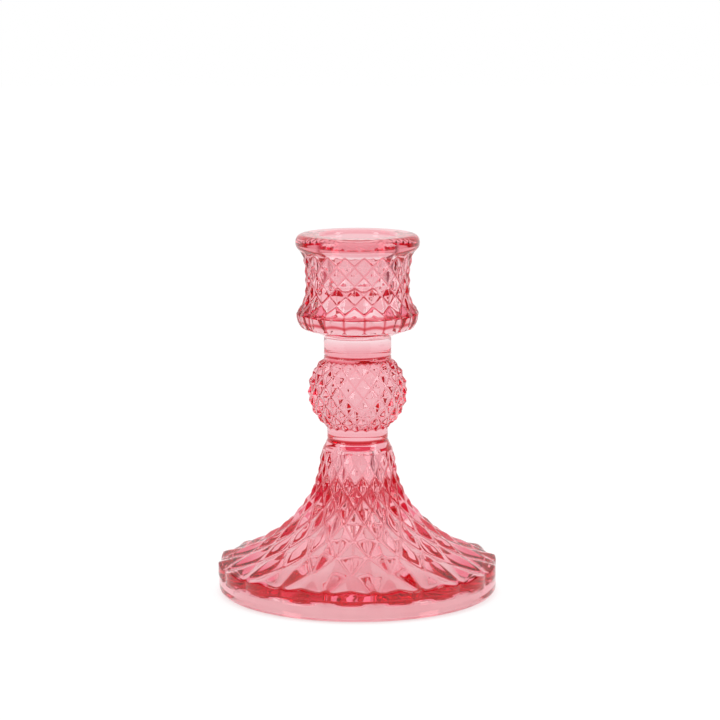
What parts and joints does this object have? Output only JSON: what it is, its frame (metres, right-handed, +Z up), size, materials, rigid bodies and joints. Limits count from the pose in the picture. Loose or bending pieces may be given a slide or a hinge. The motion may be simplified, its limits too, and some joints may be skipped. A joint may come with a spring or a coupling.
{
  "type": "candlestick",
  "caption": "Pressed-glass candlestick: a spreading hollow foot, a round knop on a short stem, and a cup with a socket for one straight taper candle, in a diamond-pointed pattern.",
  "frame": {"origin": "centre of the foot's standing plane, on the candlestick's axis", "axes": "+Z up along the axis towards the mouth of the candle socket; the pattern repeats round the axis, so X and Y are free"},
  "size_m": [0.0816, 0.082, 0.105],
  "materials": {
    "pink_glass": "gloss"
  },
  "bodies": {
    "root": {"foot_ring": "pink_glass", "foot_rim": "pink_glass", "foot_skirt": "pink_glass", "ankle": "pink_glass", "shoulder": "pink_glass", "waist_ring": "pink_glass", "knop": "pink_glass", "neck": "pink_glass", "cup_base": "pink_glass", "cup_collar": "pink_glass", "cup_wall": "pink_glass", "lip": "pink_glass"}
  },
  "joints": []
}
